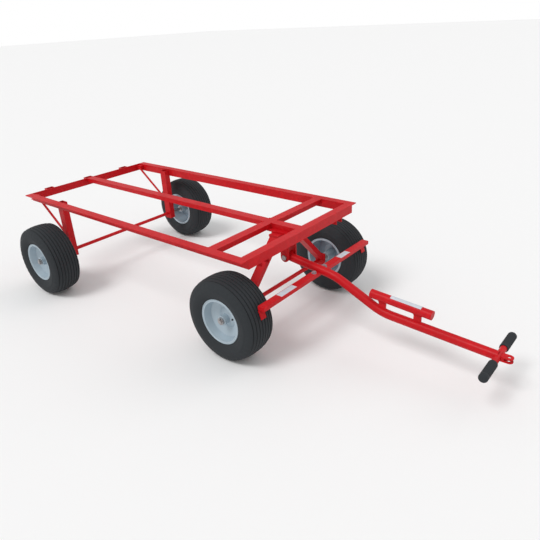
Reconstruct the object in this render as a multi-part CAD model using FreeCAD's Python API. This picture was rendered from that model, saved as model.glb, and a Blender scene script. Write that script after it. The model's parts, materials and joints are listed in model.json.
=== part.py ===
"""Four-wheeled tow wagon running gear: open angle-iron bed, pivoting front truck, tongue with a tyre brake bar.

The origin is on the ground under the middle of the overall length. +X points forward along the tongue,
+Y to the left and +Z up. Positions along X are first set out from the bed's centre.
"""
import FreeCAD, Part
import math
import os
from FreeCAD import Vector

os.makedirs("parts", exist_ok=True)

# Bed
bed_length = 1790.0
bed_width = 914.0
bed_height = 520.0
angle_leg = 45.0
angle_wall = 5.0
bar_width = 50.0
bar_height = 25.0
bar_wall = 2.5
cross_member_x = 677.0
pocket_wall = 4.0
pocket_inside_y = 44.0
pocket_inside_x = 30.0
front_pocket_y = 300.0
front_pocket_drop = 64.0
rear_pocket_y = 285.0

# Axles and wheels
rear_axle_x = -590.0
front_axle_x = 760.0
rear_track = 1095.0
front_track = 842.0
tyre_diameter = 412.0
tyre_width = 170.0
bead_diameter = 206.0
rim_flange_diameter = 224.0
rim_width = 138.0
rim_wall = 3.0
dish_depth = 44.0
hub_diameter = 48.0
hub_length = 112.0
axle_diameter = 20.0
running_clearance = 0.05
end_play = 1.0
collar_diameter = 34.0
collar_width = 8.0
axle_end = 6.0

# Rear legs and braces
rear_leg_depth = 50.0
rear_leg_width = 38.0
rear_leg_below_axle = 34.0
rear_leg_top_gap = 8.0
brace_diameter = 14.0
brace_foot_height = 300.0
brace_reach = 255.0

# Front truck
plate_thickness = 8.0
turn_gap = 0.5
truck_plate_thickness = 10.0
truck_plate_radius = 62.0
truck_plate_length = 56.0
truck_plate_span = 168.0
king_bolt_diameter = 20.0
leg_top_y = 66.0
leg_depth = 46.0
leg_thickness = 25.0
axle_seat_gap = 0.1
foot_y = 312.0
foot_thickness = 8.0
foot_width = 60.0
foot_radius = 30.0
foot_rise = 40.0
lug_gap = 52.0
lug_thickness = 8.0
lug_width = 48.0

# Tongue
pivot_ahead = 25.0
pivot_height = 357.0
pivot_pin_diameter = 16.0
pivot_sleeve_diameter = 34.0
pivot_sleeve_play = 1.0
tube_diameter = 42.0
tube_wall = 3.0
tongue_bends = [(1060.0, 318.0), (1310.0, 203.0)]
tongue_bend_radius = 260.0
handle_x = 1828.0
handle_height = 174.0
handle_length = 372.0
handle_diameter = 28.0
grip_length = 122.0
grip_diameter = 38.0
clevis_length = 58.0
clevis_width = 34.0
clevis_slot = 12.0
clevis_plate = 5.0
clevis_hole_diameter = 13.0
brake_bar_x = 969.0
brake_bar_top = 326.0
brake_bar_span = 876.0
brake_bar_width = 38.0
brake_bar_height = 18.0
shoe_width = 32.0
shoe_thickness = 4.0
shoe_clearance = 6.0
shoe_angles = (15.0, 27.0)
saddle_gap = 0.2
grab_tube_start = (1252.0, 284.0)
grab_tube_end = (1546.0, 264.0)
grab_post_x = (1311.0, 1480.0)
grab_post_width = 34.0
grab_post_thickness = 10.0

# Worked out from the sizes above
tyre_radius = tyre_diameter / 2
axle_height = tyre_radius
half_length = bed_length / 2
half_width = bed_width / 2
inner_face_y = half_width - angle_leg
rail_bottom = bed_height - angle_leg
pocket_depth = pocket_inside_x + pocket_wall
pivot_x = front_axle_x + pivot_ahead
front_end_x = handle_x + clevis_length
rear_end_x = -half_length - pocket_depth
middle_x = (front_end_x + rear_end_x) / 2
pivot_plate_top = bed_height - bar_height
pivot_plate_bottom = pivot_plate_top - plate_thickness
truck_plate_top = pivot_plate_bottom - turn_gap
truck_plate_bottom = truck_plate_top - truck_plate_thickness
cross_front_x = cross_member_x + bar_width / 2
cross_rear_x = cross_member_x - bar_width / 2
bore_radius = axle_diameter / 2 + running_clearance


def box(x0, x1, y0, y1, z0, z1):
    return Part.makeBox(x1 - x0, y1 - y0, z1 - z0, Vector(x0, y0, z0))


def rod_y(x, z, y0, y1, radius):
    return Part.makeCylinder(radius, y1 - y0, Vector(x, y0, z), Vector(0, 1, 0))


def rod_z(x, y, z0, z1, radius):
    return Part.makeCylinder(radius, z1 - z0, Vector(x, y, z0), Vector(0, 0, 1))


def rod_between(start, end, radius):
    line = Vector(*end) - Vector(*start)
    return Part.makeCylinder(radius, line.Length, Vector(*start), line)


def prism(points, depth):
    face = Part.Face(Part.makePolygon([Vector(*p) for p in points] + [Vector(*points[0])]))
    return face.extrude(Vector(*depth))


def mirrored(shape):
    return shape.mirror(Vector(0, 0, 0), Vector(0, 1, 0))


def hollow_box(x0, x1, y0, y1, z0, z1, along):
    """A rectangular tube, open at its ends along the axis "x" or "y"."""
    w = bar_wall
    outer = box(x0, x1, y0, y1, z0, z1)
    if along == "x":
        return outer.cut(box(x0, x1, y0 + w, y1 - w, z0 + w, z1 - w))
    return outer.cut(box(x0 + w, x1 - w, y0, y1, z0 + w, z1 - w))


def save(name, shape):
    moved = shape.copy()
    moved.translate(Vector(-middle_x, 0, 0))
    moved = moved.removeSplitter()
    if not moved.isValid():
        raise RuntimeError(name + " is not a valid solid")
    moved.exportStep("parts/" + name + ".step")


def save_pair(name, left):
    save(name + "_left", left)
    save(name + "_right", mirrored(left))


def build_bed():
    flange = box(-half_length, half_length, inner_face_y, half_width, bed_height - angle_wall, bed_height)
    web = box(-half_length, half_length, inner_face_y, inner_face_y + angle_wall, rail_bottom, bed_height)
    save_pair("side_rail", flange.fuse(web))
    y = inner_face_y
    top = box(half_length - angle_leg, half_length, -y, y, bed_height - angle_wall, bed_height)
    face = box(half_length - angle_wall, half_length, -y, y, rail_bottom, bed_height)
    save("front_rail", top.fuse(face))
    back = box(-half_length, -half_length + angle_wall, -y, y, rail_bottom, bed_height)
    foot = box(-half_length - pocket_depth, -half_length + angle_wall, -y, y, rail_bottom, rail_bottom + angle_wall)
    save("rear_rail", back.fuse(foot))
    z0 = bed_height - bar_height
    save("cross_member", hollow_box(cross_rear_x, cross_front_x, -y, y, z0, bed_height, "y"))
    half = bar_width / 2
    rear_inner = -half_length + angle_wall
    save("centre_rail", hollow_box(rear_inner, cross_rear_x, -half, half, z0, bed_height, "x"))
    nose_end = half_length - angle_leg
    save("nose_rail", hollow_box(cross_front_x, nose_end, -half, half, z0, bed_height, "x"))


def pocket(x0, x1, y, z0, z1, open_front):
    """A stake pocket: a strap bent round three sides, closed by the rail that it is welded to."""
    half = pocket_inside_y / 2
    outer = box(x0, x1, y - half - pocket_wall, y + half + pocket_wall, z0, z1)
    if open_front:
        return outer.cut(box(x0 + pocket_wall, x1, y - half, y + half, z0, z1))
    return outer.cut(box(x0, x1 - pocket_wall, y - half, y + half, z0, z1))


def build_pockets():
    rear = []
    for y in (-rear_pocket_y, 0.0, rear_pocket_y):
        z0 = rail_bottom + angle_wall
        rear.append(pocket(-half_length - pocket_depth, -half_length, y, z0, bed_height, True))
    save("rear_stake_pockets", Part.makeCompound(rear))
    inner = half_length - angle_wall
    top = bed_height - angle_wall
    front = []
    for y in (-front_pocket_y, front_pocket_y):
        front.append(pocket(inner - pocket_depth, inner, y, top - front_pocket_drop, top, True))
    save("front_stake_pockets", Part.makeCompound(front))


def build_rear_legs():
    half = rear_leg_depth / 2
    x0 = rear_axle_x - half
    x1 = rear_axle_x + half
    y1 = inner_face_y
    y0 = y1 - rear_leg_width
    z0 = axle_height - rear_leg_below_axle
    z1 = bed_height - rear_leg_top_gap
    leg = box(x0, x1, y0, y1, z0, z1)
    leg = leg.cut(box(x0 + bar_wall, x1 - bar_wall, y0 + bar_wall, y1 - bar_wall, z0, z1))
    leg = leg.cut(rod_y(rear_axle_x, axle_height, y0, y1, axle_diameter / 2))
    save_pair("rear_leg", leg)
    y = (y0 + y1) / 2
    start = (x0 - brace_reach, y, rail_bottom + angle_leg / 2)
    end = (x0 + half, y, brace_foot_height - half)
    brace = rod_between(start, end, brace_diameter / 2)
    brace = brace.cut(box(x0, x1, y0, y1, z0, z1))
    web = box(start[0] - 20, start[0] + 26, y - 4, inner_face_y, rail_bottom + 8, rail_bottom + 37)
    save_pair("rear_brace", brace.fuse(web))


def build_axle(name, x, track):
    end = track / 2 + hub_length / 2 + end_play + collar_width + axle_end
    save(name + "_axle", rod_y(x, axle_height, -end, end, axle_diameter / 2))
    collars = []
    gap = hub_length / 2 + end_play
    for side in (-1, 1):
        for y in (track / 2 - gap - collar_width, track / 2 + gap):
            collar = rod_y(x, axle_height, y, y + collar_width, collar_diameter / 2)
            collar = collar.cut(rod_y(x, axle_height, y, y + collar_width, axle_diameter / 2))
            collars.append(collar if side > 0 else mirrored(collar))
    save(name + "_axle_collars", Part.makeCompound(collars))


def arc(a, b, c):
    return Part.Arc(Vector(*a), Vector(*b), Vector(*c)).toShape()


def line(a, b):
    return Part.makeLine(Vector(*a), Vector(*b))


def tyre_solid(x, y):
    """A wide, low-pressure tyre: round shoulders, bulging walls and a slightly crowned tread."""
    w = tyre_width / 2
    r = tyre_radius
    bead = bead_diameter / 2 + 1
    bead_y = rim_width / 2 - rim_wall - 0.5
    wall_r = (bead + r) / 2 + 6
    shoulder = r - 21
    tread = r - 5
    edges = [line((bead, -bead_y, 0), (bead, bead_y, 0)),
             line((bead, bead_y, 0), (bead + 10, bead_y, 0)),
             arc((bead + 10, bead_y, 0), (wall_r, w, 0), (shoulder, w - 6, 0)),
             arc((shoulder, w - 6, 0), (tread - 4, w - 13, 0), (tread, w - 26, 0)),
             arc((tread, w - 26, 0), (r, 0, 0), (tread, 26 - w, 0)),
             arc((tread, 26 - w, 0), (tread - 4, 13 - w, 0), (shoulder, 6 - w, 0)),
             arc((shoulder, 6 - w, 0), (wall_r, -w, 0), (bead + 10, -bead_y, 0)),
             line((bead + 10, -bead_y, 0), (bead, -bead_y, 0))]
    ring = Part.Face(Part.Wire(Part.__sortEdges__(edges))).revolve(Vector(0, 0, 0), Vector(0, 1, 0), 360)
    ring.translate(Vector(x, y, axle_height))
    return ring


def rim_solid(x, y, side):
    """A steel wheel with its disc set back from the outer flange and a long plain hub."""
    half = rim_width / 2
    flange = rim_flange_diameter / 2
    barrel = bead_diameter / 2
    t = rim_wall
    web = half - dish_depth
    hub = hub_diameter / 2
    outline = [(barrel, -half, 0), (flange, -half, 0), (flange, -half + t, 0), (barrel + 0.5, -half + t, 0),
               (barrel + 0.5, half - t, 0), (flange, half - t, 0), (flange, half, 0), (barrel - t, half, 0),
               (barrel - t - 10, web + 8, 0), (hub + 26, web - 8, 0), (hub, web + 2, 0), (hub, hub_length / 2, 0),
               (bore_radius, hub_length / 2, 0), (bore_radius, -hub_length / 2, 0), (hub, -hub_length / 2, 0),
               (hub, web - 4, 0), (hub + 24, web - 13, 0), (barrel - t - 6, web + 2, 0), (barrel - t, -half, 0)]
    face = Part.Face(Part.makePolygon([Vector(*p) for p in outline + outline[:1]]))
    rim = face.revolve(Vector(0, 0, 0), Vector(0, 1, 0), 360)
    if side < 0:
        rim = mirrored(rim)
    rim.translate(Vector(x, y, axle_height))
    return rim


def build_wheels():
    for end, x, track in (("front", front_axle_x, front_track), ("rear", rear_axle_x, rear_track)):
        for side, sign in (("left", 1), ("right", -1)):
            y = sign * track / 2
            save("_".join((end, side, "tyre")), tyre_solid(x, y))
            save("_".join((end, side, "rim")), rim_solid(x, y, sign))


def build_pivot():
    x = front_axle_x
    nose_end = half_length - angle_wall
    plate = box(cross_rear_x, nose_end, -bar_width, bar_width, pivot_plate_bottom, pivot_plate_top)
    save("pivot_plate", plate)
    nut_height = 14.0
    bolt = rod_z(x, 0, truck_plate_bottom - turn_gap - nut_height - 4, pivot_plate_bottom, king_bolt_diameter / 2)
    save("king_bolt", bolt)
    nut_top = truck_plate_bottom - turn_gap
    nut = rod_z(x, 0, nut_top - nut_height, nut_top, 16).cut(rod_z(x, 0, 0, nut_top, king_bolt_diameter / 2))
    save("king_nut", nut)


def build_truck_plate():
    x = front_axle_x
    half = truck_plate_length / 2
    side = truck_plate_span / 2
    plate = rod_z(x, 0, truck_plate_bottom, truck_plate_top, truck_plate_radius)
    plate = plate.fuse(box(x - half, x + half, -side, side, truck_plate_bottom, truck_plate_top))
    bore = rod_z(x, 0, truck_plate_bottom, truck_plate_top, king_bolt_diameter / 2 + running_clearance)
    save("truck_plate", plate.cut(bore))


def leg_box(thickness, depth):
    """One slanting leg, from the plate above down to the foot, cut flat where it meets each."""
    top = Vector(front_axle_x, leg_top_y, truck_plate_bottom)
    low = Vector(front_axle_x, foot_y, axle_height + 14)
    run = low - top
    slant = math.degrees(math.atan2(run.z, run.y))
    leg = Part.makeBox(depth, run.Length + 120, thickness, Vector(-depth / 2, -60, -thickness / 2))
    leg.rotate(Vector(0, 0, 0), Vector(1, 0, 0), slant)
    leg.translate(top)
    return leg


def build_truck_legs():
    x = front_axle_x
    half = leg_depth
    room = box(x - half, x + half, 0, foot_y, axle_height - foot_radius, truck_plate_bottom)
    leg = leg_box(leg_thickness, leg_depth).common(room)
    core = leg_box(leg_thickness - 2 * bar_wall, leg_depth - 2 * bar_wall)
    leg = leg.cut(core)
    leg = leg.cut(rod_y(x, axle_height, 0, foot_y, axle_diameter / 2 + axle_seat_gap))
    save_pair("truck_leg", leg)
    foot = box(x - foot_width / 2, x + foot_width / 2, foot_y, foot_y + foot_thickness, axle_height,
               axle_height + foot_rise)
    foot = foot.fuse(rod_y(x, axle_height, foot_y, foot_y + foot_thickness, foot_radius))
    foot = foot.cut(rod_y(x, axle_height, foot_y, foot_y + foot_thickness, axle_diameter / 2))
    save("axle_feet", Part.makeCompound([foot, mirrored(foot)]))


def build_tongue_lugs():
    y0 = lug_gap / 2
    y1 = y0 + lug_thickness
    half = lug_width / 2
    lug = box(pivot_x - half, pivot_x + half, y0, y1, pivot_height, truck_plate_bottom)
    lug = lug.fuse(rod_y(pivot_x, pivot_height, y0, y1, half))
    lug = lug.cut(rod_y(pivot_x, pivot_height, y0, y1, pivot_pin_diameter / 2))
    save("tongue_lugs", Part.makeCompound([lug, mirrored(lug)]))
    end = y1 + 3
    head = rod_y(pivot_x, pivot_height, y1, y1 + 7, 13)
    pin = rod_y(pivot_x, pivot_height, -end, end, pivot_pin_diameter / 2)
    save("tongue_pin", pin.fuse(head).fuse(mirrored(head)))


def tongue_path():
    """Straight runs in the middle plane, joined by tangent arcs."""
    corners = [(pivot_x, pivot_height - 3)] + tongue_bends + [(handle_x, handle_height)]
    points = [Vector(x, 0, z) for x, z in corners]
    edges = []
    here = points[0]
    for before, corner, after in zip(points, points[1:], points[2:]):
        d1 = (corner - before).normalize()
        d2 = (after - corner).normalize()
        turn = d1.getAngle(d2)
        back = tongue_bend_radius * math.tan(turn / 2)
        start = corner - d1 * back
        end = corner + d2 * back
        inward = (d2 - d1).normalize()
        middle = corner + inward * (tongue_bend_radius * (1 / math.cos(turn / 2) - 1))
        edges.append(Part.makeLine(here, start))
        edges.append(Part.Arc(start, middle, end).toShape())
        here = end
    edges.append(Part.makeLine(here, points[-1]))
    return Part.Wire(edges), (points[1] - points[0]).normalize()


def tube_along(path, direction, radius):
    start = path.Vertexes[0].Point
    ring = Part.Wire([Part.makeCircle(radius, start, direction)])
    return path.makePipeShell([ring], True, False)


def build_tongue_tube():
    path, direction = tongue_path()
    radius = tube_diameter / 2
    outer = tube_along(path, direction, radius)
    tube = outer.cut(tube_along(path, direction, radius - tube_wall))
    y = tube_diameter
    sleeve_r = pivot_sleeve_diameter / 2
    tube = tube.cut(box(0, pivot_x, -y, y, 0, bed_height))
    tube = tube.cut(rod_y(pivot_x, pivot_height, -y, y, sleeve_r))
    tube = tube.cut(rod_y(handle_x, handle_height, -y, y, handle_diameter / 2))
    lower = handle_x - 0.5
    tube = tube.cut(box(lower, handle_x + 50, -y, y, 0, bed_height))
    save("tongue_tube", max(tube.Solids, key=lambda solid: solid.Volume))
    half = lug_gap / 2 - pivot_sleeve_play
    sleeve = rod_y(pivot_x, pivot_height, -half, half, sleeve_r)
    bore = rod_y(pivot_x, pivot_height, -half, half, pivot_pin_diameter / 2 + running_clearance)
    save("pivot_sleeve", sleeve.cut(bore))


def build_handle():
    z = handle_height
    half = handle_length / 2
    radius = handle_diameter / 2
    save("handle_bar", rod_y(handle_x, z, -half + 6, half - 6, radius))
    grip = rod_y(handle_x, z, half - grip_length, half, grip_diameter / 2)
    grip = grip.makeFillet(9, [e for e in grip.Edges if e.BoundBox.YMin > half - 1])
    grip = grip.cut(rod_y(handle_x, z, 0, half - 6, radius))
    save_pair("grip", grip)
    x0 = handle_x + radius - 3
    height = clevis_slot / 2 + clevis_plate
    clevis = box(x0, front_end_x - clevis_width / 2, -clevis_width / 2, clevis_width / 2, z - height, z + height)
    nose = rod_z(front_end_x - clevis_width / 2, 0, z - height, z + height, clevis_width / 2)
    clevis = clevis.fuse(nose)
    slot = box(x0 + 14, front_end_x, -clevis_width, clevis_width, z - clevis_slot / 2, z + clevis_slot / 2)
    hole = rod_z(front_end_x - clevis_width / 2, 0, z - 50, z + 50, clevis_hole_diameter / 2)
    clevis = clevis.cut(slot).cut(hole).cut(rod_y(handle_x, z, -50, 50, radius))
    save("hitch_clevis", clevis)


def build_brake():
    half = brake_bar_span / 2
    x0 = brake_bar_x - brake_bar_width / 2
    x1 = x0 + brake_bar_width
    z0 = brake_bar_top - brake_bar_height
    bar = box(x0, x1, -half, half, z0, brake_bar_top)
    path, direction = tongue_path()
    bar = bar.cut(tube_along(path, direction, tube_diameter / 2 + saddle_gap))
    save("brake_bar", bar)
    inner = tyre_radius + shoe_clearance
    outer = inner + shoe_thickness
    a0, a1 = [math.radians(angle) for angle in shoe_angles]
    am = (a0 + a1) / 2

    def at(radius, angle):
        return Vector(front_axle_x + radius * math.cos(angle), half, axle_height + radius * math.sin(angle))

    edges = [Part.Arc(at(inner, a0), at(inner, am), at(inner, a1)).toShape(),
             Part.makeLine(at(inner, a1), at(outer, a1)),
             Part.Arc(at(outer, a1), at(outer, am), at(outer, a0)).toShape(),
             Part.makeLine(at(outer, a0), at(inner, a0))]
    shoe = Part.Face(Part.Wire(edges)).extrude(Vector(0, -shoe_width, 0))
    shoe = shoe.cut(box(x0, x1, -half, half, z0, brake_bar_top))
    save("brake_shoes", Part.makeCompound([shoe, mirrored(shoe)]))


def build_grab_tube():
    x0, z0 = grab_tube_start
    x1, z1 = grab_tube_end
    save("grab_tube", rod_between((x0, 0, z0), (x1, 0, z1), tube_diameter / 2))
    half = grab_post_width / 2
    top = z0 - 6
    path, direction = tongue_path()
    tongue = tube_along(path, direction, tube_diameter / 2)
    bar = rod_between((x0, 0, z0), (x1, 0, z1), tube_diameter / 2)
    posts = []
    for x in grab_post_x:
        post = box(x - half, x + half, -grab_post_thickness / 2, grab_post_thickness / 2, handle_height + 15, top)
        posts.append(max(post.cut(tongue).cut(bar).Solids, key=lambda solid: solid.Volume))
    save("grab_posts", Part.makeCompound(posts))


build_bed()
build_pockets()
build_rear_legs()
build_axle("rear", rear_axle_x, rear_track)
build_axle("front", front_axle_x, front_track)
build_wheels()
build_pivot()
build_truck_plate()
build_truck_legs()
build_tongue_lugs()
build_tongue_tube()
build_handle()
build_brake()
build_grab_tube()
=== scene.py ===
import json
import math
import random

import bmesh
import bpy
from bpy.props import FloatProperty, FloatVectorProperty, IntProperty, PointerProperty
from bpy.types import Operator, Panel, PropertyGroup
from mathutils import Euler, Matrix, Vector


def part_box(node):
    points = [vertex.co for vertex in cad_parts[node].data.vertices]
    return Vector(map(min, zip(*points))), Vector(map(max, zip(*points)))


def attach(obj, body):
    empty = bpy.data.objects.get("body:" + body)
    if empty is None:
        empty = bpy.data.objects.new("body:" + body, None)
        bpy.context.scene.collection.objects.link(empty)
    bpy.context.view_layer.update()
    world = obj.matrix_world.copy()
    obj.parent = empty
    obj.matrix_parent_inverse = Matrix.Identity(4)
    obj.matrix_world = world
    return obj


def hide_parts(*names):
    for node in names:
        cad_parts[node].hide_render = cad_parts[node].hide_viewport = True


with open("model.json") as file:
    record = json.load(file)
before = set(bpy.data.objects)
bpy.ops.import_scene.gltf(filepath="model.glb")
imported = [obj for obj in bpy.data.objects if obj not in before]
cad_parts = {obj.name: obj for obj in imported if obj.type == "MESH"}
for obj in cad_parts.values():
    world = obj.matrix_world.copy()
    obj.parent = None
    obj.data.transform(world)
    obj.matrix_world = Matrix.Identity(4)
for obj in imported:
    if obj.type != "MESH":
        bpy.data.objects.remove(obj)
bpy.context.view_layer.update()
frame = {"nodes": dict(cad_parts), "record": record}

bl_info = {
    "name": "Tow Wagon Finish",
    "version": (1, 0, 0),
    "blender": (4, 5, 0),
    "location": "View3D > Sidebar > Wagon",
    "description": "Finishes a tow wagon: tyres, wheels, paint, welds, bolts, blank labels and a studio",
    "category": "Object",
}

NODES = frame["nodes"]
BODY_OF = {node: body for body, names in frame["record"]["behaviour"]["bodies"].items() for node in names}
SLOT_OF = {row["node"]: row["material_slot"] for row in frame["record"]["subparts"]}
WHEELS = [end + "_" + side for end in ("front", "rear") for side in ("left", "right")]

# Finishes: the colour setting that each starts from, how far its shade and its rubbed edges
# stray from that colour, its range of roughness, and the scales of its unevenness.
FINISHES = {
    "red_powder_coat": dict(tint="red", shade=0.90, rub=1.10, rough=(0.40, 0.52), coat=0.03,
                            broad=3, fine=900, bump=0.05, gloss=0.17),
    "tyre_rubber": dict(tint="tyre", shade=1.5, rub=2.2, rough=(0.50, 0.64), broad=9, fine=500,
                        bump=0.2, gloss=0.05),
    "wheel_paint": dict(tint="wheel", shade=0.85, rub=1.15, rough=(0.26, 0.40), metallic=0.25,
                        coat=0.2, broad=8, fine=600, bump=0.04),
    # plated_steel starts from the steel colour, which is partly painted shade of the hub recess; zinc_bolt
    # lifts that darkened colour to pale zinc
    "plated_steel": dict(tint="steel", shade=0.7, rub=1.6, rough=(0.34, 0.50), metallic=0.7,
                         broad=30, fine=700, bump=0.08),
    "zinc_bolt": dict(tint="steel", brighter=9.0, shade=0.8, rub=1.2, rough=(0.28, 0.4), metallic=0.8,
                      broad=30, fine=700, bump=0.05),
    "grip_rubber": dict(tint="tyre", shade=1.6, rub=2.2, rough=(0.38, 0.5), broad=25, fine=900,
                        bump=0.15, gloss=0.08),
    "blank_label": dict(tint="label", shade=0.93, rub=1.05, rough=(0.35, 0.45), broad=20, fine=300,
                        bump=0.02),
}
FINISH_OF_SLOT = {"red_paint": "red_powder_coat", "plated_steel": "plated_steel",
                  "wheel_paint": "wheel_paint", "grip_rubber": "grip_rubber", "tyre_rubber": "tyre_rubber"}
COAT_ROUGHNESS = 0.12
GRAIN_DISTANCE = 0.001
BROAD_DETAIL = 5
FINE_DETAIL = 3
BROAD_RANGE = (0.38, 0.68)
EDGE_RANGE = (0.53, 0.62)
BREAKUP_RANGE = (0.5, 0.66)
SHARP_ANGLE = 38
MIX_A = 6
MIX_B = 7
MIX_RESULT = 2

# Tyres: (share of the half width, share of the radius) from the bead out to the shoulder
TYRE_WALL = [(0.765, 0.512), (0.790, 0.548), (0.850, 0.562), (0.868, 0.580), (0.925, 0.625),
             (0.940, 0.640), (0.986, 0.700), (1.000, 0.752), (0.994, 0.785), (0.982, 0.791),
             (0.976, 0.815), (0.945, 0.862), (0.900, 0.898)]
GROOVES = (0.74, 0.53, 0.32, 0.108)
GROOVE_FLOOR = 0.28
TREAD_EDGE = 0.83
CROWN_DROP = 0.088
CROWN_POWER = 2.5
NOTCH_BAND = (0.89, 0.96)
NOTCH_FROM = 0.85
NOTCH_DEPTH = 0.0022
NOTCH_PITCH = 6
NOTCH_LENGTH = 2
NOTCH_STAGGER = 3

# Wheels: the rolled lips and the bead on the disc, each a ring of this thickness
LIP_SETBACK = 0.0005
LIP_DROP = 0.0025
LIP_THICK = 0.0028
BEAD_SETBACK = 0.020
BEAD_DROP = 0.0125
BEAD_THICK = 0.0024
RING_FACETS = 12
RING_STEPS = 96
# Valve stems: place ahead of and above the hub, depth in the wheel, then (radius, length, rise)
STEM_AHEAD = 0.068
STEM_ABOVE = 0.028
STEM_DEPTH = 0.046
STEM_LAYERS = ((0.0055, 0.012, 0.006), (0.0032, 0.030, 0.016), (0.0042, 0.009, 0.030))
STEM_TAPER = 0.92
STEM_FACETS = 16

EDGE_SEGMENTS = 2
EDGE_ANGLE = 50

# Welds: where each bead stops short of the edge of the steel it runs along
BEAD_SPACING = 0.75
BEAD_RANGE = (0.85, 1.1)
BEAD_SEED = 7
BEAD_LEAST = 3
BALL_DETAIL = 2
STOP_CROSS = 0.003
STOP_FRONT = 0.006
STOP_REAR = 0.005
LEG_WELD_BELOW = 0.018
LEG_WELD_STOP = 0.004
FOOT_WELD_IN = 0.008
FOOT_WELD = (0.036, 0.006)
PLATE_WELD = (0.052, 0.082)
POST_IN = 0.017
TUBE_SLOPE = -0.068
TUBE_DROP = 0.0205
POST_WELD_HALF = 0.016
POST_WELD_OUT = 0.006
POST_WELD_FALL = 0.002

# Bolts: (facets, wide share, narrow share, thickness, height of its middle) of each layer
HEAD_LAYERS = ((32, 0.62, 0.60, 0.0018, 0.0009), (6, 0.50, 0.48, 0.007, 0.0052),
               (24, 0.40, 0.22, 0.0016, 0.0094))
BAR_BOLT_OUT = 0.044
PLATE_BOLT_AHEAD = 0.017
PLATE_BOLT_OUT = 0.043
PLATE_BOLT_SHARE = 0.7
FOOT_THICKNESS = 0.012
AXLE_SKIN = 0.0005
AXLE_STEPS = 48
COTTER_INSET = 0.0032
COTTER_RADIUS = 0.0016
COTTER_LENGTH = 0.030
COTTER_EYE = 0.0032
COTTER_FACETS = 12

# Labels: side and span along Y of those on the bar, then the span along the short tube
BAR_LABELS = (("right", -0.315, -0.202), ("left", 0.171, 0.256))
LABEL_THICKNESS = 0.0006
LABEL_SHARE = 0.86
LABEL_EDGE = 0.0002
TUBE_LABEL_SPAN = (0.10, 0.245)
TUBE_LABEL_SHELLS = (0.0002, 0.0008)
TUBE_LABEL_HALF_TURN = 38
TUBE_LABEL_STEPS = 14

# Grips: bore, ribs and rounded end
GRIP_BORE = 0.0142
GRIP_RIBS = 11
GRIP_MOUTH = ((0, 0.97), (0.003, 1), (0.008, 1))
GRIP_FIRST_RIB = 0.010
GRIP_PLAIN = 0.034
GRIP_GROOVE = ((0, 1), (0.3, 0.93), (0.6, 0.93), (0.85, 1))
GRIP_END = 0.012
GRIP_END_STEPS = 9
GRIP_END_TURN = 11
GRIP_END_FLAT = 0.35
GRIP_END_THICKNESS = 0.006
GRIP_TIP = 0.0005
GRIP_STEPS = 64

# Stage: camera, sky, floor and lamps, each lamp (name, tilt, turn, spread, strength)
CAMERA_PLACE = (1.7754, -1.8738, 1.4314)
CAMERA_HEADING = 2.2767
CAMERA_TILT = -0.4505
CAMERA_ROLL = 0.0531
CAMERA_SENSOR = 36
CAMERA_LENS = 34.78
FLOOR_HALF = 60
FLOOR_ROUGHNESS = 0.9
SKY_LIGHT = 0.62
SKY_SEEN = 1.0
WHITE = (1, 1, 1, 1)
LAMPS = (("key", 35, -18, 25, 1.35), ("fill", 50, 150, 40, 0.35))


class WagonColours(PropertyGroup):
    red: FloatVectorProperty(name="Red paint", description="Powder coat on the frame", subtype="COLOR",
                             size=3, default=(0.56, 0.006, 0.011))
    tyre: FloatVectorProperty(name="Tyre rubber", description="Tread and walls", subtype="COLOR",
                              size=3, default=(0.0035, 0.0040, 0.0065))
    wheel: FloatVectorProperty(name="Wheel paint", description="Pressed wheels", subtype="COLOR",
                               size=3, default=(0.22, 0.36, 0.46))
    # The plated steel colour is the steel's own dark tone made darker still as painted shade, so that the
    # axle ends and cotter pins in the hubs show the shade of the hub recess
    steel: FloatVectorProperty(name="Plated steel", description="Axles, pins and bolts", subtype="COLOR",
                               size=3, default=(0.050, 0.050, 0.055))
    label: FloatVectorProperty(name="Blank label", description="Plain neutral labels", subtype="COLOR",
                               size=3, default=(0.60, 0.64, 0.70))
    floor: FloatVectorProperty(name="Floor", description="Studio floor", subtype="COLOR",
                               size=3, default=(0.90, 0.90, 0.90))


class WagonSizes(PropertyGroup):
    groove_depth: FloatProperty(name="Groove depth", description="Depth of the tread grooves",
                                default=0.0040, min=0, unit="LENGTH")
    groove_width: FloatProperty(name="Groove width", description="Width of a groove round the tyre",
                                default=0.0050, min=0, unit="LENGTH")
    tread_steps: IntProperty(name="Steps round a tyre", description="Facets round the tread",
                             subtype="UNSIGNED", default=240, min=48)
    edge_round: FloatProperty(name="Edge rounding", description="Rounding of the steel's edges",
                              default=0.0012, min=0, unit="LENGTH")
    weld_width: FloatProperty(name="Weld width", description="Width of a weld bead", default=0.007,
                              min=0, unit="LENGTH")
    bolt_width: FloatProperty(name="Bolt width", description="Hexagon head across its corners",
                              default=0.021, min=0, unit="LENGTH")


# Shader building


def shader_group(name, inputs, outputs):
    group = bpy.data.node_groups.new(name, "ShaderNodeTree")
    for label, default in inputs:
        socket = group.interface.new_socket(label, in_out="INPUT", socket_type="NodeSocketFloat")
        socket.default_value = default
    for label in outputs:
        group.interface.new_socket(label, in_out="OUTPUT", socket_type="NodeSocketFloat")
    return group, group.nodes.new("NodeGroupInput"), group.nodes.new("NodeGroupOutput")


def ramp(nodes, limits):
    node = nodes.new("ShaderNodeValToRGB")
    for element, limit in zip(node.color_ramp.elements, limits):
        element.position = limit
    return node


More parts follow.
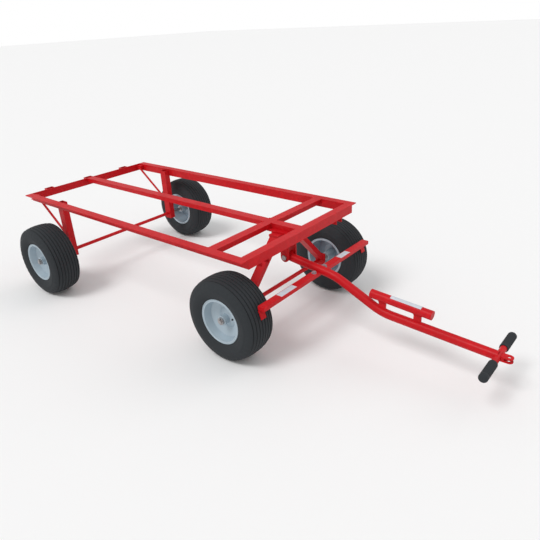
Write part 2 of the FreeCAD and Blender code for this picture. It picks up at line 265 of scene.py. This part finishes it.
def mottle_group():
    """Slow and fine unevenness: a broad mask, and a fine height for bump."""
    group = bpy.data.node_groups.get("surface_mottle")
    if group:
        return group
    group, inside, outside = shader_group("surface_mottle", [("Broad Scale", 6.0), ("Fine Scale", 400.0)],
                                          ["Mask", "Height"])
    links = group.links
    place = group.nodes.new("ShaderNodeTexCoord")
    broad = group.nodes.new("ShaderNodeTexNoise")
    broad.inputs["Detail"].default_value = BROAD_DETAIL
    fine = group.nodes.new("ShaderNodeTexNoise")
    fine.inputs["Detail"].default_value = FINE_DETAIL
    spread = ramp(group.nodes, BROAD_RANGE)
    links.new(place.outputs["Object"], broad.inputs["Vector"])
    links.new(place.outputs["Object"], fine.inputs["Vector"])
    links.new(inside.outputs["Broad Scale"], broad.inputs["Scale"])
    links.new(inside.outputs["Fine Scale"], fine.inputs["Scale"])
    links.new(broad.outputs["Fac"], spread.inputs["Fac"])
    links.new(spread.outputs["Color"], outside.inputs["Mask"])
    links.new(fine.outputs["Fac"], outside.inputs["Height"])
    return group


def edge_group():
    """A mask of the outer edges, broken up by noise, for rubbed paint and dusty rubber."""
    group = bpy.data.node_groups.get("edge_rub")
    if group:
        return group
    group, inside, outside = shader_group("edge_rub", [("Breakup Scale", 45.0)], ["Mask"])
    links = group.links
    shape = group.nodes.new("ShaderNodeNewGeometry")
    place = group.nodes.new("ShaderNodeTexCoord")
    noise = group.nodes.new("ShaderNodeTexNoise")
    edges = ramp(group.nodes, EDGE_RANGE)
    breakup = ramp(group.nodes, BREAKUP_RANGE)
    both = group.nodes.new("ShaderNodeMath")
    both.operation = "MULTIPLY"
    links.new(place.outputs["Object"], noise.inputs["Vector"])
    links.new(inside.outputs["Breakup Scale"], noise.inputs["Scale"])
    links.new(shape.outputs["Pointiness"], edges.inputs["Fac"])
    links.new(noise.outputs["Fac"], breakup.inputs["Fac"])
    links.new(edges.outputs["Color"], both.inputs[0])
    links.new(breakup.outputs["Color"], both.inputs[1])
    links.new(both.outputs[0], outside.inputs["Mask"])
    return group


def mixed(nodes, links, mask, first, second):
    node = nodes.new("ShaderNodeMix")
    node.data_type = "RGBA"
    links.new(mask, node.inputs["Factor"])
    for socket, value in ((node.inputs[MIX_A], first), (node.inputs[MIX_B], second)):
        if isinstance(value, bpy.types.NodeSocket):
            links.new(value, socket)
        else:
            socket.default_value = (*value, 1)
    return node.outputs[MIX_RESULT]


def scaled(colour, factor):
    return tuple(min(1.0, part * factor) for part in colour)


def finish(name):
    """A finished surface: mottled colour, rubbed edges, uneven roughness and a fine grain."""
    material = bpy.data.materials.get(name)
    if material:
        return material
    recipe = FINISHES[name]
    colour = getattr(bpy.context.scene.wagon_colours, recipe["tint"])
    if "brighter" in recipe:
        colour = scaled(colour, recipe["brighter"])
    material = bpy.data.materials.new(name)
    material.use_nodes = True
    nodes, links = material.node_tree.nodes, material.node_tree.links
    shader = nodes["Principled BSDF"]
    shader.inputs["Metallic"].default_value = recipe.get("metallic", 0.0)
    shader.inputs["Specular IOR Level"].default_value = recipe.get("gloss", 0.5)
    shader.inputs["Coat Weight"].default_value = recipe.get("coat", 0.0)
    shader.inputs["Coat Roughness"].default_value = COAT_ROUGHNESS
    mottle = nodes.new("ShaderNodeGroup")
    mottle.node_tree = mottle_group()
    mottle.inputs["Broad Scale"].default_value = recipe["broad"]
    mottle.inputs["Fine Scale"].default_value = recipe["fine"]
    edge = nodes.new("ShaderNodeGroup")
    edge.node_tree = edge_group()
    tone = mixed(nodes, links, mottle.outputs["Mask"], colour, scaled(colour, recipe["shade"]))
    tone = mixed(nodes, links, edge.outputs["Mask"], tone, scaled(colour, recipe["rub"]))
    links.new(tone, shader.inputs["Base Color"])
    spread = nodes.new("ShaderNodeMapRange")
    spread.inputs["To Min"].default_value, spread.inputs["To Max"].default_value = recipe["rough"]
    links.new(mottle.outputs["Mask"], spread.inputs["Value"])
    links.new(spread.outputs["Result"], shader.inputs["Roughness"])
    grain = nodes.new("ShaderNodeBump")
    grain.inputs["Strength"].default_value = recipe["bump"]
    grain.inputs["Distance"].default_value = GRAIN_DISTANCE
    links.new(mottle.outputs["Height"], grain.inputs["Height"])
    links.new(grain.outputs["Normal"], shader.inputs["Normal"])
    return material


# Mesh helpers


def piece(name, mesh, finish_name, body):
    thing = bpy.data.objects.new(name, mesh)
    bpy.context.scene.collection.objects.link(thing)
    mesh.materials.append(finish(finish_name))
    for face in mesh.polygons:
        face.use_smooth = True
    mesh.set_sharp_from_angle(angle=math.radians(SHARP_ANGLE))
    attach(thing, body)
    return thing


def mesh_of(name, soup):
    mesh = bpy.data.meshes.new(name)
    soup.to_mesh(mesh)
    soup.free()
    return mesh


def mesh_from(name, build):
    soup = bmesh.new()
    build(soup)
    bmesh.ops.recalc_face_normals(soup, faces=soup.faces)
    return mesh_of(name, soup)


def turned(soup, outline, steps, place, lift=None):
    """Turns a closed outline of (along Y, radius) into a solid about an axis along Y through place."""
    rings = []
    for step in range(steps):
        angle = 2 * math.pi * step / steps
        ring = []
        for y, r in outline:
            radius = r + (lift(step, y, r) if lift else 0.0)
            offset = Vector((radius * math.cos(angle), y, radius * math.sin(angle)))
            ring.append(soup.verts.new(place + offset))
        rings.append(ring)
    count = len(outline)
    for step in range(steps):
        here, ahead = rings[step], rings[(step + 1) % steps]
        for index in range(count):
            after = (index + 1) % count
            soup.faces.new((here[index], here[after], ahead[after], ahead[index]))


def peg(soup, facets, wide, narrow, length, spot):
    bmesh.ops.create_cone(soup, cap_ends=True, segments=facets, radius1=wide, radius2=narrow,
                          depth=length, matrix=spot)


def corners(node):
    return [Vector(corner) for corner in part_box(node)]


def middle_of(node):
    low, high = corners(node)
    return (low + high) / 2, high - low


# Pieces


class WAGON_OT_paint(Operator):
    """Gives every carried-over node its finish and softens the edges of the red-painted ones"""

    bl_idname = "wagon.paint"
    bl_label = "Paint"

    def execute(self, context):
        for node, thing in NODES.items():
            thing.data.materials.clear()
            thing.data.materials.append(finish(FINISH_OF_SLOT[SLOT_OF[node]]))
            if SLOT_OF[node] == "red_paint":
                bevel = thing.modifiers.new("edge_round", "BEVEL")
                bevel.width = context.scene.wagon_sizes.edge_round
                bevel.segments = EDGE_SEGMENTS
                bevel.limit_method = "ANGLE"
                bevel.angle_limit = math.radians(EDGE_ANGLE)
        return {"FINISHED"}


class WAGON_OT_tyres(Operator):
    """Makes the ribbed tyres that stand for the plain rings"""

    bl_idname = "wagon.tyres"
    bl_label = "Tyres"

    def outline(self, radius, half, sizes):
        """Bead, bulging wall, stepped shoulder and a crowned tread cut by grooves."""
        depth = sizes.groove_depth
        width = sizes.groove_width

        def crown(y):
            return radius * (1 - CROWN_DROP * abs(y / half) ** CROWN_POWER)

        tread = []
        for centre in GROOVES:
            y = centre * half
            tread += [(y + width / 2, crown(y)), (y + width * GROOVE_FLOOR, crown(y) - depth),
                      (y - width * GROOVE_FLOOR, crown(y) - depth), (y - width / 2, crown(y))]
        wall = [(y * half, r * radius) for y, r in TYRE_WALL]
        side = wall + [(TREAD_EDGE * half, crown(TREAD_EDGE * half))] + tread
        return side + [(-y, r) for y, r in reversed(side)]

    def execute(self, context):
        sizes = context.scene.wagon_sizes
        steps = sizes.tread_steps
        for wheel in WHEELS:
            node = wheel + "_tyre"
            place, extent = middle_of(node)
            radius, half = extent.z / 2, extent.y / 2
            outline = self.outline(radius, half, sizes)

            def lift(step, y, r):
                """Short notches across the shoulders, staggered from side to side."""
                shoulder = NOTCH_BAND[0] * half < abs(y) < NOTCH_BAND[1] * half and r > NOTCH_FROM * radius
                notch = (step + (NOTCH_STAGGER if y > 0 else 0)) % NOTCH_PITCH < NOTCH_LENGTH
                return -NOTCH_DEPTH if shoulder and notch else 0.0

            mesh = mesh_from(wheel + "_tread", lambda soup: turned(soup, outline, steps, place, lift))
            tyre = piece(wheel + "_ribbed_tyre", mesh, "tyre_rubber", BODY_OF[node])
            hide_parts(node)
        return {"FINISHED"}


class WAGON_OT_wheels(Operator):
    """Adds rolled lips, a disc bead and a valve stem to each pressed wheel"""

    bl_idname = "wagon.wheels"
    bl_label = "Wheels"

    def ring(self, wheel, label, y, radius, thick, place):
        angles = [2 * math.pi * step / RING_FACETS for step in range(RING_FACETS)]
        outline = [(y + thick * math.cos(a), radius + thick * math.sin(a)) for a in angles]
        mesh = mesh_from(label, lambda soup: turned(soup, outline, RING_STEPS, place))
        piece(wheel + "_" + label, mesh, "wheel_paint", BODY_OF[wheel + "_rim"])

    def execute(self, context):
        for wheel in WHEELS:
            node = wheel + "_rim"
            place, extent = middle_of(node)
            side = 1 if wheel.endswith("left") else -1
            radius, half = extent.z / 2, extent.y / 2
            lip = radius - LIP_DROP
            self.ring(wheel, "outer_lip", side * (half - LIP_SETBACK), lip, LIP_THICK, place)
            self.ring(wheel, "inner_lip", side * (LIP_SETBACK - half), lip, LIP_THICK, place)
            self.ring(wheel, "step_bead", side * (half - BEAD_SETBACK), radius - BEAD_DROP, BEAD_THICK, place)

            def stem(soup):
                base = place + Vector((STEM_AHEAD, side * (half - STEM_DEPTH), STEM_ABOVE))
                turn = Matrix.Rotation(math.radians(-90 * side), 4, "X")
                for wide, length, rise in STEM_LAYERS:
                    spot = Matrix.Translation(base + Vector((0, side * rise, 0))) @ turn
                    peg(soup, STEM_FACETS, wide, wide * STEM_TAPER, length, spot)

            piece(wheel + "_valve_stem", mesh_from("valve_stem", stem), "grip_rubber",
                  BODY_OF[node])
        return {"FINISHED"}


class WAGON_OT_welds(Operator):
    """Lays rippled weld beads where the steel members meet"""

    bl_idname = "wagon.welds"
    bl_label = "Welds"

    def upright(self, body, x, y, low, high):
        return body, (x, y, low), (x, y, high)

    def frame_seams(self):
        """The centre rail on the cross member."""
        cross_low, cross_high = corners("cross_member")
        low, high = corners("centre_rail")
        return [self.upright("frame", x, y, low.z, high.z) for y in (low.y, high.y)
                for x in (cross_low.x, cross_high.x)]

    def side_seams(self, sign, side):
        """The rails and legs of one side: of the bed, then of the truck."""
        cross_low, cross_high = corners("cross_member")
        front_low, front_high = corners("front_rail")
        rear_low, rear_high = corners("rear_rail")
        leg_low, leg_high = corners("rear_leg_" + side)
        y = sign * cross_high.y
        seams = [self.upright("frame", x, y, cross_low.z, cross_high.z - STOP_CROSS)
                 for x in (cross_low.x, cross_high.x)]
        seams.append(self.upright("frame", front_high.x - STOP_FRONT, y, front_low.z,
                                  front_high.z - STOP_FRONT))
        seams.append(self.upright("frame", rear_high.x, y, rear_low.z + STOP_REAR,
                                  rear_high.z - STOP_CROSS))
        seams += [self.upright("frame", x, y, cross_low.z - LEG_WELD_BELOW, leg_high.z - LEG_WELD_STOP)
                  for x in (leg_low.x, leg_high.x)]
        foot = corners("axle_feet")[1]
        plate = corners("truck_plate")[0]
        leg, size = middle_of("truck_leg_" + side)
        edges = (leg.x - size.x / 2, leg.x + size.x / 2)
        face = sign * (foot.y - FOOT_WELD_IN)
        seams += [self.upright("truck", x, face, foot.z - FOOT_WELD[0], foot.z - FOOT_WELD[1])
                  for x in edges]
        seams += [("truck", (x, sign * PLATE_WELD[0], plate.z), (x, sign * PLATE_WELD[1], plate.z))
                  for x in edges]
        return seams

    def post_seams(self):
        """The short tube's posts, along both sides of the tube above."""
        post, size = middle_of("grab_posts")
        tube = middle_of("grab_tube")[0]
        seams = []
        for x in (post.x - size.x / 2 + POST_IN, post.x + size.x / 2 - POST_IN):
            z = tube.z + (x - tube.x) * TUBE_SLOPE - TUBE_DROP
            for sign in (-1, 1):
                y = sign * POST_WELD_OUT
                seams.append(("tongue", (x - POST_WELD_HALF, y, z),
                              (x + POST_WELD_HALF, y, z - POST_WELD_FALL)))
        return seams

    def execute(self, context):
        radius = context.scene.wagon_sizes.weld_width / 2
        chance = random.Random(BEAD_SEED)
        seams = self.frame_seams() + self.side_seams(-1, "right") + self.side_seams(1, "left")
        soups = {}
        for body, start, end in seams + self.post_seams():
            soup = soups.setdefault(body, bmesh.new())
            start = Vector(start)
            run = Vector(end) - start
            count = max(BEAD_LEAST, int(run.length / (radius * BEAD_SPACING)))
            for step in range(count + 1):
                spot = Matrix.Translation(start + run * (step / count))
                size = radius * chance.uniform(*BEAD_RANGE)
                shape = spot @ Matrix.Diagonal((size, size, size, 1))
                bmesh.ops.create_icosphere(soup, subdivisions=BALL_DETAIL, radius=1.0, matrix=shape)
        for body, soup in soups.items():
            piece(body + "_weld_beads", mesh_of(body + "_welds", soup), "red_powder_coat", body)
        return {"FINISHED"}


class WAGON_OT_bolts(Operator):
    """Adds hexagon bolts to the brake bar and pivot, and painted skins and cotter pins to the axles"""

    bl_idname = "wagon.bolts"
    bl_label = "Bolts"

    def head(self, soup, spot, turn, width):
        base = Matrix.Translation(spot) @ turn
        for facets, wide, narrow, thickness, height in HEAD_LAYERS:
            peg(soup, facets, width * wide, width * narrow, thickness,
                base @ Matrix.Translation((0, 0, height)))

    def bar_bolts(self, width):
        bar, size = middle_of("brake_bar")

        def build(soup):
            for y in (-BAR_BOLT_OUT, BAR_BOLT_OUT):
                self.head(soup, Vector((bar.x, y, bar.z + size.z / 2)), Matrix.Identity(4), width)

        piece("brake_bar_bolts", mesh_from("bar_bolts", build), "zinc_bolt",
              BODY_OF["brake_bar"])

    def plate_bolts(self, width):
        plate, size = middle_of("truck_plate")

        def build(soup):
            down = Matrix.Rotation(math.pi, 4, "X")
            for x in (-PLATE_BOLT_AHEAD, PLATE_BOLT_AHEAD):
                for y in (-PLATE_BOLT_OUT, PLATE_BOLT_OUT):
                    self.head(soup, Vector((plate.x + x, y, plate.z - size.z / 2)), down, width)

        piece("truck_plate_bolts", mesh_from("plate_bolts", build), "plated_steel",
              BODY_OF["truck_plate"])

    def axle_ends(self, end, reach):
        """A painted skin as far as reach on both sides, and a cotter pin through each end."""
        axle, size = middle_of(end + "_axle")
        bar = size.z / 2
        skin = [(-reach, bar), (-reach, bar + AXLE_SKIN), (reach, bar + AXLE_SKIN), (reach, bar)]
        mesh = mesh_from(end + "_axle_paint", lambda soup: turned(soup, skin, AXLE_STEPS, axle))
        piece(end + "_axle_paint", mesh, "red_powder_coat", BODY_OF[end + "_axle"])

        def cotters(soup):
            for sign in (-1, 1):
                y = sign * (size.y / 2 - COTTER_INSET)
                spot = Matrix.Translation(Vector((axle.x, y, axle.z)))
                peg(soup, COTTER_FACETS, COTTER_RADIUS, COTTER_RADIUS, COTTER_LENGTH, spot)
                eye = spot @ Matrix.Translation((0, 0, COTTER_LENGTH / 2))
                bmesh.ops.create_icosphere(soup, subdivisions=BALL_DETAIL, radius=COTTER_EYE, matrix=eye)

        piece(end + "_cotter_pins", mesh_from("cotters", cotters), "plated_steel",
              BODY_OF[end + "_axle"])

    def execute(self, context):
        width = context.scene.wagon_sizes.bolt_width
        self.bar_bolts(width)
        self.plate_bolts(width * PLATE_BOLT_SHARE)
        self.axle_ends("front", corners("axle_feet")[1].y - FOOT_THICKNESS)
        self.axle_ends("rear", corners("rear_leg_left")[0].y)
        return {"FINISHED"}


class WAGON_OT_labels(Operator):
    """Lays blank labels on the brake bar and over the short tube"""

    bl_idname = "wagon.labels"
    bl_label = "Blank labels"

    def bar_label(self, side, y0, y1):
        bar, size = middle_of("brake_bar")
        top = bar.z + size.z / 2

        def patch(soup):
            spot = Matrix.Translation(Vector((bar.x, (y0 + y1) / 2, top + LABEL_THICKNESS / 2)))
            shape = Matrix.Diagonal((size.x * LABEL_SHARE, y1 - y0, LABEL_THICKNESS, 1))
            bmesh.ops.create_cube(soup, size=1.0, matrix=spot @ shape)
            bmesh.ops.bevel(soup, geom=soup.edges[:], offset=LABEL_EDGE, segments=1, affect="EDGES")

        piece("brake_bar_label_" + side, mesh_from("label", patch), "blank_label",
              BODY_OF["brake_bar"])

    def tube_label(self):
        low, high = corners("grab_tube")
        radius = (high.y - low.y) / 2
        across = Vector((0, 1, 0))
        start = Vector((low.x, 0, high.z - radius))
        end = Vector((high.x, 0, low.z + radius))
        along = (end - start).normalized()
        normal = along.cross(across).normalized()
        normal = normal if normal.z > 0 else -normal
        steps = TUBE_LABEL_STEPS

        def wrap(soup):
            rows = []
            for shell in TUBE_LABEL_SHELLS:
                for at in TUBE_LABEL_SPAN:
                    row = []
                    for step in range(steps + 1):
                        angle = math.radians(TUBE_LABEL_HALF_TURN * (2 * step / steps - 1))
                        away = normal * math.cos(angle) + across * math.sin(angle)
                        row.append(soup.verts.new(start + along * at + away * (radius + shell)))
                    rows.append(row)
            for a, b in ((0, 1), (3, 2), (2, 0), (1, 3)):
                for step in range(steps):
                    soup.faces.new((rows[a][step], rows[a][step + 1], rows[b][step + 1], rows[b][step]))
            for step in (0, steps):
                soup.faces.new((rows[0][step], rows[1][step], rows[3][step], rows[2][step]))

        piece("grab_tube_label", mesh_from("tube_label", wrap), "blank_label",
              BODY_OF["grab_tube"])

    def execute(self, context):
        for side, y0, y1 in BAR_LABELS:
            self.bar_label(side, y0, y1)
        self.tube_label()
        return {"FINISHED"}


class WAGON_OT_grips(Operator):
    """Makes the ribbed hand grips"""

    bl_idname = "wagon.grips"
    bl_label = "Grips"

    def outline(self, radius, half):
        """From the open inner end, over the ribs, round the closed outer end."""
        outline = [(-half, GRIP_BORE)]
        outline += [(-half + y, radius * share) for y, share in GRIP_MOUTH]
        pitch = (2 * half - GRIP_PLAIN) / GRIP_RIBS
        for rib in range(GRIP_RIBS):
            y = -half + GRIP_FIRST_RIB + rib * pitch
            outline += [(y + pitch * at, radius * share) for at, share in GRIP_GROOVE]
        for step in range(GRIP_END_STEPS):
            angle = math.radians(step * GRIP_END_TURN)
            share = GRIP_END_FLAT + (1 - GRIP_END_FLAT) * math.cos(angle)
            outline.append((half - GRIP_END + GRIP_END * math.sin(angle), radius * share))
        inner = half - GRIP_END_THICKNESS
        return outline + [(half, GRIP_TIP), (inner, GRIP_TIP), (inner, GRIP_BORE)]

    def execute(self, context):
        for side, sign in (("left", 1), ("right", -1)):
            node = "grip_" + side
            place, extent = middle_of(node)
            outline = [(sign * y, r) for y, r in self.outline(extent.z / 2, extent.y / 2)]
            mesh = mesh_from(node, lambda soup: turned(soup, outline, GRIP_STEPS, place))
            grip = piece("ribbed_" + node, mesh, "grip_rubber", BODY_OF[node])
            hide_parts(node)
        return {"FINISHED"}


class WAGON_OT_stage(Operator):
    """Sets up the camera, the pale floor and the soft lamps"""

    bl_idname = "wagon.stage"
    bl_label = "Stage"

    def camera(self, scene):
        view = bpy.data.cameras.new("view")
        view.sensor_width = CAMERA_SENSOR
        view.lens = CAMERA_LENS
        camera = bpy.data.objects.new("view", view)
        level = math.cos(CAMERA_TILT)
        ahead = Vector((math.cos(CAMERA_HEADING) * level, math.sin(CAMERA_HEADING) * level,
                        math.sin(CAMERA_TILT)))
        right = Vector((math.sin(CAMERA_HEADING), -math.cos(CAMERA_HEADING), 0))
        up = right.cross(ahead)
        tipped = right * math.cos(CAMERA_ROLL) - up * math.sin(CAMERA_ROLL)
        turn = Matrix((tipped, tipped.cross(ahead), -ahead)).transposed().to_4x4()
        camera.matrix_world = Matrix.Translation(Vector(CAMERA_PLACE)) @ turn
        scene.collection.objects.link(camera)
        scene.camera = camera

    def floor(self, scene):
        soup = bmesh.new()
        bmesh.ops.create_grid(soup, x_segments=1, y_segments=1, size=FLOOR_HALF)
        mesh = mesh_of("floor", soup)
        floor = bpy.data.objects.new("floor", mesh)
        scene.collection.objects.link(floor)
        material = bpy.data.materials.new("studio_floor")
        material.use_nodes = True
        shader = material.node_tree.nodes["Principled BSDF"]
        shader.inputs["Base Color"].default_value = (*scene.wagon_colours.floor, 1)
        shader.inputs["Roughness"].default_value = FLOOR_ROUGHNESS
        mesh.materials.append(material)

    def sky(self, scene):
        """A plain sky that looks white and lights a little less than it looks."""
        world = bpy.data.worlds.new("studio")
        scene.world = world
        world.use_nodes = True
        nodes, links = world.node_tree.nodes, world.node_tree.links
        back = nodes["Background"]
        back.inputs["Color"].default_value = WHITE
        path = nodes.new("ShaderNodeLightPath")
        strength = nodes.new("ShaderNodeMapRange")
        strength.inputs["To Min"].default_value = SKY_LIGHT
        strength.inputs["To Max"].default_value = SKY_SEEN
        links.new(path.outputs["Is Camera Ray"], strength.inputs["Value"])
        links.new(strength.outputs["Result"], back.inputs["Strength"])

    def lamp(self, scene, name, tilt, turn, spread, strength):
        """A broad sun, tilted from straight down and then turned about Z, in degrees."""
        data = bpy.data.lights.new(name, "SUN")
        data.angle = math.radians(spread)
        data.energy = strength
        thing = bpy.data.objects.new(name, data)
        thing.rotation_euler = Euler((math.radians(tilt), 0, math.radians(turn)))
        scene.collection.objects.link(thing)

    def execute(self, context):
        scene = context.scene
        self.camera(scene)
        self.floor(scene)
        self.sky(scene)
        for lamp in LAMPS:
            self.lamp(scene, *lamp)
        scene.view_settings.view_transform = "Standard"
        return {"FINISHED"}


class WAGON_PT_panel(Panel):
    bl_label = "Tow wagon"
    bl_idname = "WAGON_PT_panel"
    bl_space_type = "VIEW_3D"
    bl_region_type = "UI"
    bl_category = "Wagon"

    def draw(self, context):
        layout = self.layout
        for group in (context.scene.wagon_colours, context.scene.wagon_sizes):
            for name in group.__annotations__:
                layout.prop(group, name)
        for operator in OPERATORS:
            layout.operator(operator.bl_idname)


OPERATORS = (WAGON_OT_paint, WAGON_OT_tyres, WAGON_OT_wheels, WAGON_OT_welds, WAGON_OT_bolts, WAGON_OT_labels,
             WAGON_OT_grips, WAGON_OT_stage)
CLASSES = (WagonColours, WagonSizes) + OPERATORS + (WAGON_PT_panel,)


def register():
    for cls in CLASSES:
        bpy.utils.register_class(cls)
    bpy.types.Scene.wagon_colours = PointerProperty(type=WagonColours)
    bpy.types.Scene.wagon_sizes = PointerProperty(type=WagonSizes)


def unregister():
    del bpy.types.Scene.wagon_sizes
    del bpy.types.Scene.wagon_colours
    for cls in reversed(CLASSES):
        bpy.utils.unregister_class(cls)


def main():
    register()
    for operator in OPERATORS:
        group, name = operator.bl_idname.split(".")
        getattr(getattr(bpy.ops, group), name)()


if __name__ == "__main__":
    main()
